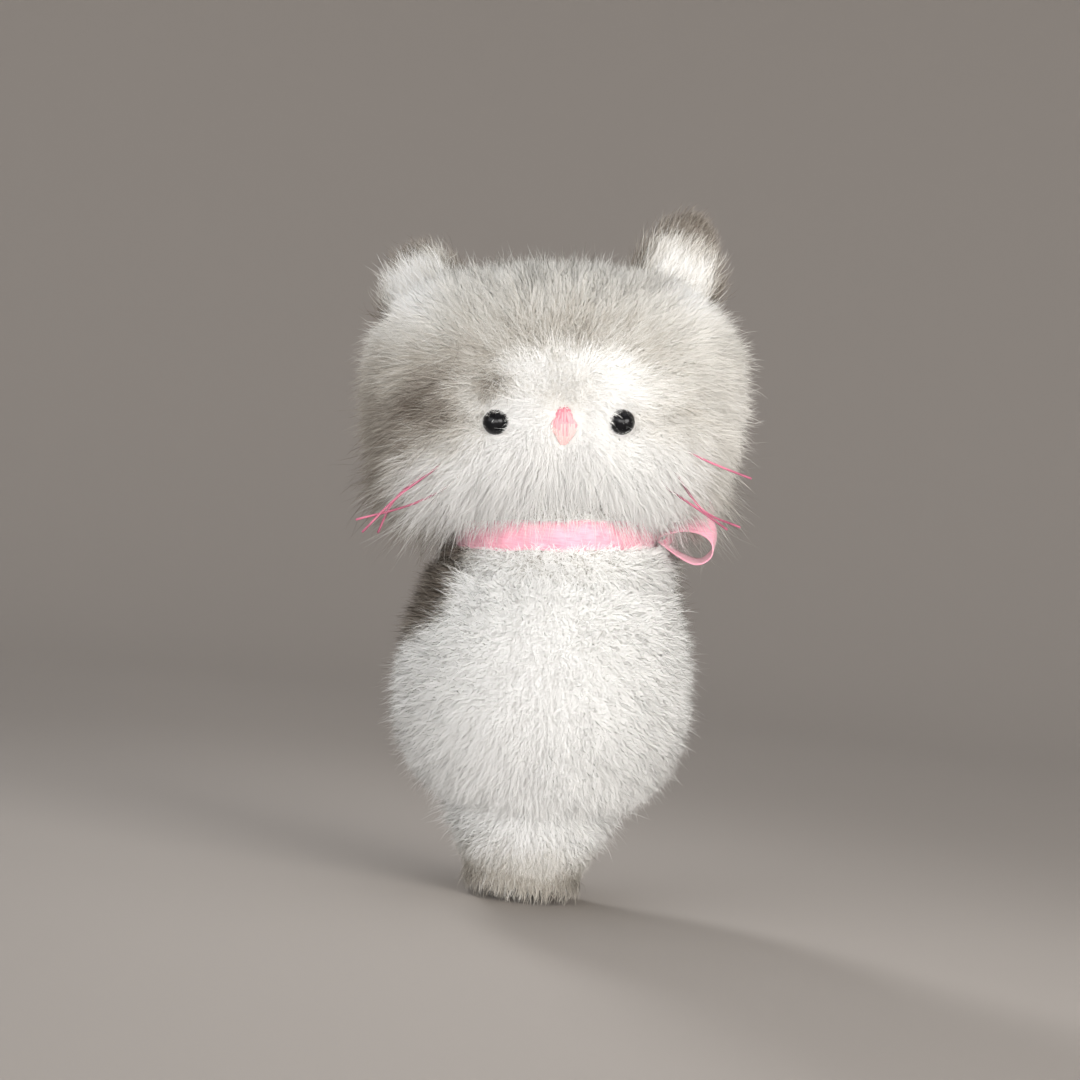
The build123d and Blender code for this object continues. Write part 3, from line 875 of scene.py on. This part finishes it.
def build_tail(name, course):
    """A ribbon end that lies back along the neck."""
    rows, cols = 30, 7
    centre = curve_through(course, rows)
    share = np.linspace(-1, 1, cols)[None]
    cut = np.linspace(0, 1, rows)[:, None]
    height = centre[:, 2, None] + share * (1.6 + 1.2 * np.minimum(1, 4 * cut))
    stretch = 1 + 0.06 * share * (cut > 0.9)
    out = 1 + 0.006 * np.sin(9 * cut + 2 * share)
    points = grid_points(centre[:, 0, None] * out, centre[:, 1, None] * out * stretch, height)
    points = placed(COLLAR @ turn("Z", BOW_TURN), points)
    satin_object(f"bow_{name}_end", points, grid_faces(rows, cols, False), f"bow_tail_{name}")


def build_knot():
    """The middle of the bow: ribbon wrapped round itself, with folds along it."""
    rows, cols = 22, 48
    v = np.linspace(-1, 1, rows)[:, None]
    around = 2 * pi * np.arange(cols)[None] / cols
    fold = 1 + 0.09 * np.cos(5 * pi * v + 1.5 * np.sin(around))
    bulge = (1 - 0.45 * v**4) * fold
    x = 1.7 + 1.7 * bulge * np.cos(around)
    z = 2.4 * bulge * np.sin(around)
    points = placed(BOW, grid_points(x, 2.2 * v, z))
    satin_object("bow_middle", points, grid_faces(rows, cols, True), "bow_knot")


# ---- Stage -------------------------------------------------------------------------------


def light(name, kind, spot, aim, size, power, colour=(1, 1, 1)):
    """A lamp that looks from one point to another, both in millimetres. Its size is in metres."""
    lamp = bpy.data.lights.new(name, kind)
    if kind == "SPOT":
        lamp.shadow_soft_size = size / 2
        lamp.spot_size = radians(30)
        lamp.spot_blend = 1
    else:
        lamp.size = size
    lamp.energy = power
    lamp.color = colour
    made = bpy.data.objects.new(name, lamp)
    made.location = [v * MM for v in spot]
    toward = np.array(aim, dtype=float) - np.array(spot, dtype=float)
    made.rotation_euler = Vector(toward).to_track_quat("-Z", "Y").to_euler()
    bpy.context.scene.collection.objects.link(made)
    return made


def build_floor():
    """A floor that curves up into a wall all round."""
    bend = WALL_R - FLOOR_R
    profile = [(0.0, FLOOR_Z), (FLOOR_R, FLOOR_Z)]
    for angle in np.radians(np.linspace(0, 90, 16))[1:]:
        profile.append((FLOOR_R + bend * sin(angle), FLOOR_Z + bend * (1 - cos(angle))))
    profile.append((WALL_R, WALL_TOP))
    material = plain_material("floor", (0.38, 0.345, 0.315), 0.9)
    made = mesh_object("floor", *spun(np.array(profile), 64), [material])
    return made


def build_stage():
    """The floor, and soft studio light from the front with a faint rim from behind."""
    floor = build_floor()
    world = bpy.data.worlds.new("studio")
    world.use_nodes = True
    world.node_tree.nodes["Background"].inputs["Color"].default_value = (0.93, 0.96, 1.0, 1)
    world.node_tree.nodes["Background"].inputs["Strength"].default_value = 1.1
    bpy.context.scene.world = world
    aim = (0, 0, 75)
    light("key", "AREA", (520, -580, 170), aim, 0.5, 9.0, (1.0, 0.98, 0.95))
    light("fill", "AREA", (-520, -540, 120), aim, 0.7, 3.9, (0.94, 0.97, 1.0))
    bounce = light("bounce", "AREA", (-60, -620, 10), aim, 0.6, 7.2, (1.0, 0.98, 0.96))
    light("rim", "SPOT", (-350, 550, 450), aim, 0.2, 12)
    spared = bpy.data.collections.new("not_lit_by_bounce")
    spared.objects.link(floor)
    spared.collection_objects[0].light_linking.link_state = "EXCLUDE"
    bounce.light_linking.receiver_collection = spared


def build_camera():
    """Level with the puppet and rolled with its lean, so that the head stands upright."""
    lens = bpy.data.cameras.new("camera")
    lens.lens = 100
    lens.clip_start = 0.01
    made = bpy.data.objects.new("camera", lens)
    view = COLLAR @ move(-3.5, 0, 1.0) @ turn("X", 88) @ move(0, 0, 600)
    view.translation *= MM
    made.matrix_world = view
    bpy.context.scene.collection.objects.link(made)
    bpy.context.scene.camera = made


# ---- CAD pieces that show as they are ----------------------------------------------------


def dress_nodes(nodes):
    """Materials for the pieces whose CAD shape is the one that shows, and for hidden pieces."""
    thread = patterned_material("thread", (0.6, 0.57, 0.52), (0.8, 0.77, 0.72), 0.3, 0.08)
    whisker = patterned_material("whisker", (0.2, 0.03, 0.07), (0.6, 0.17, 0.26), 7, 0.02, 0.45)
    floss = floss_material("floss_knot", (0.7, 0.36, 0.38), (0.83, 0.5, 0.5))
    filling = patterned_material("filling", (0.7, 0.7, 0.68), (0.88, 0.88, 0.86), 1.2, 0.4, 0.95)
    knit = patterned_material("knit", (0.62, 0.6, 0.56), (0.84, 0.83, 0.79), 1.4, 0.3, 0.9, (3, 3, 1))
    felt = patterned_material("felt", (0.66, 0.65, 0.61), (0.82, 0.81, 0.78), 0.5, 0.15, 0.95)
    # the neck cover's backing is dark as painted shade under the neck fur
    painted_shade_backing = patterned_material("fur_backing", (0.3, 0.27, 0.23), (0.5, 0.47, 0.42), 0.7, 0.3, 0.95)
    washer = patterned_material("washer", (0.74, 0.74, 0.72), (0.82, 0.82, 0.8), 0.4, 0.02, 0.5)
    black = patterned_material(
        "black", (0.003, 0.003, 0.004), (0.007, 0.007, 0.008), 0.8, 0.004, 0.2, Specular_IOR_Level=0.25
    )
    looks = {
        "belly_filling": filling,
        "neck_filling": filling,
        "head_filling": filling,
        "finger_sleeve": knit,
        "finger_pocket": felt,
        "hem_stitches": thread,
        "side_seam_left": thread,
        "side_seam_right": thread,
        "gather_thread": thread,
        "head_closing_stitches": FUR[5],
        "neck_cover": painted_shade_backing,
        "eye_washer_left": washer,
        "eye_washer_right": washer,
        "whisker_knots": whisker,
        "whiskers_left": whisker,
        "whiskers_right": whisker,
        "nose_knot": floss,
        "eye_left": black,
        "eye_right": black,
    }
    for name, look in looks.items():
        for slot in nodes[name].material_slots:
            slot.material = look


# ---- Build -------------------------------------------------------------------------------

noise.seed_set(NOISE_SEED)
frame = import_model()
FUR = fur_materials()
SATIN = patterned_material(
    "satin", (0.76, 0.3, 0.4), (0.9, 0.45, 0.54), 2.4, 0.04, 0.4, (1, 1, 7), Sheen_Weight=0.3
)
dress_nodes(frame["nodes"])
build_head()
build_nose()
build_ears()
build_body()
build_neck()
build_neck_ribbon()
build_bow()
build_stage()
build_camera()
bpy.context.scene.view_settings.view_transform = "Standard"
